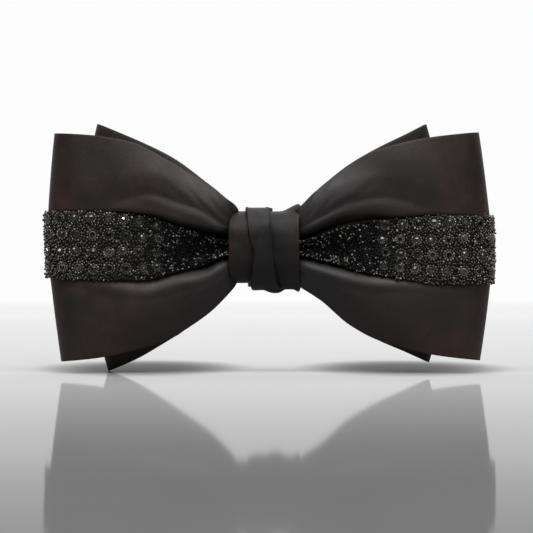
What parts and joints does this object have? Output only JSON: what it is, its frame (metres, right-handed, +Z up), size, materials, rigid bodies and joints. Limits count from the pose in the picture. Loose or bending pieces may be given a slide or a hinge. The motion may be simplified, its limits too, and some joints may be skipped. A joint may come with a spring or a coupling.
{
  "type": "bow tie",
  "caption": "Pre-tied leather bow tie: two stacked bows, beaded trim band, wrapped knot and a sprung two-lever collar clip behind the knot.",
  "frame": {"origin": "middle of the bottom of the whole object's box, where the wings' lower corners stand", "axes": "+X to the wearer's left as seen from the front (across the wings), +Y towards the wearer (the bow's face looks along -Y), +Z up"},
  "size_m": [0.1199, 0.0232, 0.0658],
  "materials": {
    "bow_leather": "dark brown-black nappa with a satin sheen",
    "knot_leather": "dark brown-black nappa with a satin sheen",
    "interlining": "stiff woven interlining",
    "tape": "black woven backing tape",
    "seed_beads": "glossy black and gunmetal seed beads",
    "stones": "faceted jet stones",
    "thread": "waxed black thread",
    "padding": "felt padding",
    "clip_steel": "brushed stainless sheet",
    "pin_steel": "turned steel pin",
    "spring_wire": "drawn spring wire"
  },
  "bodies": {
    "bow": {"front_bow": "bow_leather", "front_interlining": "interlining", "back_bow": "bow_leather", "back_interlining": "interlining", "trim_tape": "tape", "seed_beads_left": "seed_beads", "seed_beads_right": "seed_beads", "rosette_rings_left": "seed_beads", "rosette_rings_right": "seed_beads", "rosette_stones_left": "stones", "rosette_stones_right": "stones", "waist_thread": "thread", "knot_padding": "padding", "knot_wrap": "knot_leather", "knot_strap": "knot_leather", "strap_stitches": "thread", "clip_plate": "clip_steel", "hinge_pin_left": "pin_steel", "hinge_pin_right": "pin_steel", "spring_left": "spring_wire", "spring_right": "spring_wire"},
    "lever_left": {"lever_left": "clip_steel"},
    "lever_right": {"lever_right": "clip_steel"}
  },
  "joints": [
    {"name": "lever_left_hinge", "type": "hinge", "parent": "bow", "child": "lever_left", "pos_m": [-0.01005, 0.00673, 0.0326], "axis": [0, 0, -1], "range_deg": [0, 25], "stiffness_Nm_per_rad": 0.06, "springref_deg": -34.38, "deforming": ["spring_left"]},
    {"name": "lever_right_hinge", "type": "hinge", "parent": "bow", "child": "lever_right", "pos_m": [0.00695, 0.00673, 0.0326], "axis": [0, 0, 1], "range_deg": [0, 25], "stiffness_Nm_per_rad": 0.06, "springref_deg": -34.38, "deforming": ["spring_right"]}
  ]
}
